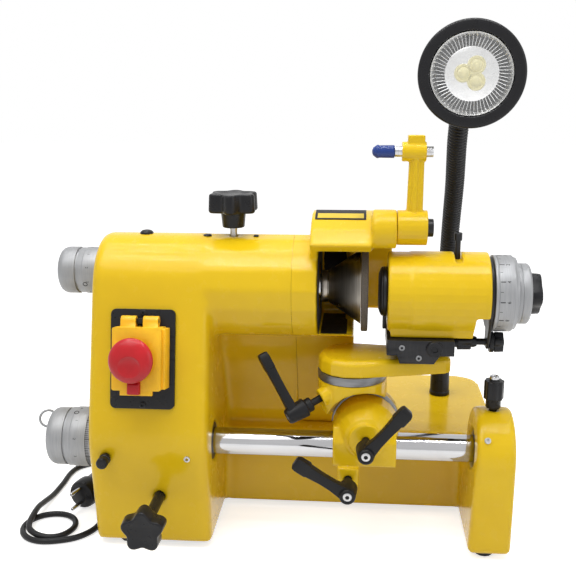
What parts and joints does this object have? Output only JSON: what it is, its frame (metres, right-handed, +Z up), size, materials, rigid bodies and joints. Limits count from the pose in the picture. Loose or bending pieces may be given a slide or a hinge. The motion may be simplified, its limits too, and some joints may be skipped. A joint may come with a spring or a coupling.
{
  "type": "universal tool and cutter grinder",
  "caption": "Bench tool grinder: cast housing with a cup wheel and guard, and a work head that slides, swings, tilts and swivels on a guide bar, with dresser, switch and lamp.",
  "frame": {"origin": "centre of the machine's own bounding box on the surface it stands on, its loose cord and plug left out", "axes": "+X to the operator's right along the guide bar, +Y from the operator to the back, +Z up"},
  "size_m": [0.5814, 0.4828, 0.5721],
  "materials": {
    "yellow_paint": "gloss paint over a cast body",
    "yellow_plastic": "smooth moulded",
    "black_steel": "blackened, satin",
    "black_rubber": "matt",
    "black_plastic": "fine moulded grain",
    "motor_grey": "plain cast",
    "machined_alloy": "turned",
    "ground_steel": "ground bright",
    "bar_chrome": "polished",
    "dial_grey": "satin, graduated",
    "abrasive": null,
    "blue_plastic": "smooth moulded",
    "red_plastic": "smooth moulded",
    "green_plastic": "smooth moulded",
    "lamp_diffuser": "clear front over a bright reflector"
  },
  "bodies": {
    "machine_frame": {"base_casting": "yellow_paint", "bottom_cover": "black_steel", "foot_front_left": "black_rubber", "foot_front_right": "black_rubber", "foot_rear_left": "black_rubber", "foot_rear_right": "black_rubber", "motor": "motor_grey", "drive_belt": "black_rubber", "wheel_guard": "yellow_paint", "dresser_pivot": "black_steel", "switch_body": "black_plastic", "cord_gland": "black_rubber", "lamp_neck": "black_steel", "power_cord": "black_rubber", "power_plug": "black_rubber"},
    "bar_swing": {"bar_sleeve_left": "black_steel", "bar_sleeve_right": "black_steel"},
    "guide_bar": {"guide_bar": "bar_chrome"},
    "bar_feed_knob": {"bar_feed_knob": "dial_grey"},
    "block": {"slide_block": "yellow_paint", "tilt_scale_ring": "dial_grey"},
    "bar_clamp_lever": {"bar_clamp_lever": "black_plastic"},
    "tilt_clamp_lever": {"tilt_clamp_lever": "black_plastic"},
    "bracket": {"tilt_bracket": "yellow_paint", "swivel_scale_ring": "dial_grey"},
    "swivel_clamp_lever": {"swivel_clamp_lever": "black_plastic"},
    "arm": {"swivel_arm": "yellow_paint", "carriage": "black_steel"},
    "head": {"head_body": "yellow_paint", "index_flange": "black_steel"},
    "head_feed_knob": {"head_feed_knob": "black_plastic"},
    "head_clamp_screw": {"head_clamp_screw": "black_steel"},
    "indexer": {"index_spindle": "black_steel", "index_dial": "dial_grey"},
    "collet_nut": {"collet_nut": "black_steel"},
    "drawbar": {"drawbar_knob": "black_plastic"},
    "quill": {"spindle_sleeve": "ground_steel", "front_bearing": "ground_steel", "rear_bearing": "ground_steel", "sleeve_feed_bracket": "black_steel"},
    "spindle": {"spindle_shaft": "ground_steel", "spindle_pulley": "machined_alloy", "wheel_body": "ground_steel", "abrasive_rim": "abrasive", "wheel_nut": "black_steel"},
    "motor_pulley": {"motor_pulley": "machined_alloy"},
    "spindle_feed_knob": {"spindle_feed_knob": "dial_grey"},
    "sleeve_clamp_knob": {"sleeve_clamp_knob": "black_plastic"},
    "front_star_knob": {"front_star_knob": "black_plastic"},
    "pull_pin": {"pull_pin": "black_plastic"},
    "post_knob": {"post_knob": "black_plastic"},
    "dresser": {"dresser_arm": "yellow_paint", "diamond_holder": "ground_steel"},
    "diamond_cap": {"diamond_cap": "blue_plastic"},
    "switch_cover": {"switch_cover": "yellow_plastic"},
    "stop_mushroom": {"stop_mushroom": "red_plastic"},
    "start_button": {"start_button": "green_plastic"},
    "stop_button": {"stop_button": "red_plastic"},
    "lamp": {"lamp_housing": "black_plastic", "lamp_glass": "lamp_diffuser"}
  },
  "joints": [
    {"name": "bar_swing", "type": "hinge", "parent": "machine_frame", "child": "bar_swing", "pos_m": [-0.07937, -0.08787, 0.1135], "axis": [1, 0, 0], "range_deg": [-1, 30]},
    {"name": "bar_feed_turn", "type": "hinge", "parent": "machine_frame", "child": "bar_feed_knob", "pos_m": [-0.22937, -0.08787, 0.1135], "axis": [1, 0, 0], "range_deg": [-1080, 1080]},
    {"name": "bar_feed", "type": "slide", "parent": "bar_swing", "child": "guide_bar", "axis": [1, 0, 0], "range_m": [-0.006, 0.006]},
    {"name": "block_slide", "type": "slide", "parent": "guide_bar", "child": "block", "axis": [1, 0, 0], "range_m": [-0.006, 0.07]},
    {"name": "bar_clamp", "type": "hinge", "parent": "block", "child": "bar_clamp_lever", "pos_m": [0.07213, -0.12187, 0.087], "axis": [0, -1, 0], "range_deg": [-30, 30]},
    {"name": "tilt_clamp", "type": "hinge", "parent": "block", "child": "tilt_clamp_lever", "pos_m": [0.09063, -0.12337, 0.1337], "axis": [0, -1, 0], "range_deg": [-30, 30]},
    {"name": "head_tilt", "type": "hinge", "parent": "block", "child": "bracket", "pos_m": [0.09063, -0.06587, 0.1337], "axis": [0, -1, 0], "range_deg": [-12, 3]},
    {"name": "swivel_clamp", "type": "hinge", "parent": "bracket", "child": "swivel_clamp_lever", "pos_m": [0.04081, -0.10495, 0.1744], "axis": [-0.8325, -0.3852, -0.3982], "range_deg": [-20, 20]},
    {"name": "head_swivel", "type": "hinge", "parent": "bracket", "child": "arm", "pos_m": [0.07463, -0.07987, 0.2], "axis": [0, 0, -1], "range_deg": [-8, 95]},
    {"name": "head_feed", "type": "slide", "parent": "arm", "child": "head", "axis": [1, 0, 0], "range_m": [0, 0.02]},
    {"name": "head_feed_turn", "type": "hinge", "parent": "head", "child": "head_feed_knob", "pos_m": [0.22063, -0.08787, 0.2377], "axis": [1, 0, 0], "range_deg": [0, 3600]},
    {"name": "head_clamp_turn", "type": "hinge", "parent": "head", "child": "head_clamp_screw", "pos_m": [0.18413, -0.08187, 0.35], "axis": [0, 0, 1], "range_deg": [0, 180]},
    {"name": "index_turn", "type": "hinge", "parent": "head", "child": "indexer", "pos_m": [0.22063, -0.08187, 0.2903], "axis": [1, 0, 0], "continuous": true},
    {"name": "collet_nut_turn", "type": "hinge", "parent": "indexer", "child": "collet_nut", "pos_m": [0.10363, -0.08187, 0.2903], "axis": [1, 0, 0], "continuous": true},
    {"name": "drawbar_turn", "type": "hinge", "parent": "indexer", "child": "drawbar", "pos_m": [0.26563, -0.08187, 0.2903], "axis": [1, 0, 0], "continuous": true},
    {"name": "spindle_feed_turn", "type": "hinge", "parent": "machine_frame", "child": "spindle_feed_knob", "pos_m": [-0.23937, -0.00987, 0.2924], "axis": [1, 0, 0], "range_deg": [-360, 1440]},
    {"name": "spindle_feed", "type": "slide", "parent": "machine_frame", "child": "quill", "axis": [1, 0, 0], "range_m": [-0.002, 0.008]},
    {"name": "spindle_turn", "type": "hinge", "parent": "quill", "child": "spindle", "pos_m": [-0.07937, -0.05187, 0.288], "axis": [1, 0, 0], "continuous": true},
    {"name": "motor_turn", "type": "hinge", "parent": "machine_frame", "child": "motor_pulley", "pos_m": [-0.18737, 0.06713, 0.088], "axis": [1, 0, 0], "continuous": true},
    {"name": "sleeve_clamp_turn", "type": "hinge", "parent": "machine_frame", "child": "sleeve_clamp_knob", "pos_m": [-0.05937, -0.05187, 0.36], "axis": [0, 0, 1], "range_deg": [0, 180]},
    {"name": "front_knob_turn", "type": "hinge", "parent": "machine_frame", "child": "front_star_knob", "pos_m": [-0.13437, -0.13787, 0.0668], "axis": [0, -1, 0], "range_deg": [0, 180]},
    {"name": "pull_pin_slide", "type": "slide", "parent": "machine_frame", "child": "pull_pin", "axis": [0, -1, 0], "range_m": [0, 0.006], "stiffness_N_per_m": 400},
    {"name": "post_knob_turn", "type": "hinge", "parent": "machine_frame", "child": "post_knob", "pos_m": [0.22913, -0.08787, 0.18], "axis": [0, 0, 1], "range_deg": [0, 180]},
    {"name": "dresser_swing", "type": "hinge", "parent": "machine_frame", "child": "dresser", "pos_m": [0.13563, -0.08787, 0.361], "axis": [1, 0, 0], "range_deg": [-60, 110]},
    {"name": "cap_pull", "type": "slide", "parent": "dresser", "child": "diamond_cap", "axis": [-1, 0, 0], "range_m": [0, 0.02]},
    {"name": "cover_swing", "type": "hinge", "parent": "machine_frame", "child": "switch_cover", "pos_m": [-0.14887, -0.13012, 0.26518], "axis": [1, 0, 0], "range_deg": [-100, 0]},
    {"name": "mushroom_press", "type": "slide", "parent": "switch_cover", "child": "stop_mushroom", "axis": [0, 0.9765, -0.2153], "range_m": [0, 0.003], "stiffness_N_per_m": 400},
    {"name": "start_press", "type": "slide", "parent": "machine_frame", "child": "start_button", "axis": [0, 0.9765, -0.2153], "range_m": [0, 0.002], "stiffness_N_per_m": 400},
    {"name": "stop_press", "type": "slide", "parent": "machine_frame", "child": "stop_button", "axis": [0, 0.9765, -0.2153], "range_m": [0, 0.002], "stiffness_N_per_m": 400},
    {"name": "lamp_nod", "type": "hinge", "parent": "machine_frame", "child": "lamp", "pos_m": [0.19699, -0.02828, 0.5175], "axis": [0.9919, -0.1271, 0], "range_deg": [-12, 12]}
  ],
  "couplings": [
    {"joint": "bar_feed_turn", "follows": "bar_feed", "rad_per_m": 3141.6},
    {"joint": "spindle_feed_turn", "follows": "spindle_feed", "rad_per_m": 3141.6},
    {"joint": "motor_turn", "follows": "spindle_turn", "ratio": 0.8},
    {"joint": "head_feed_turn", "follows": "head_feed", "rad_per_m": 3141.6}
  ]
}
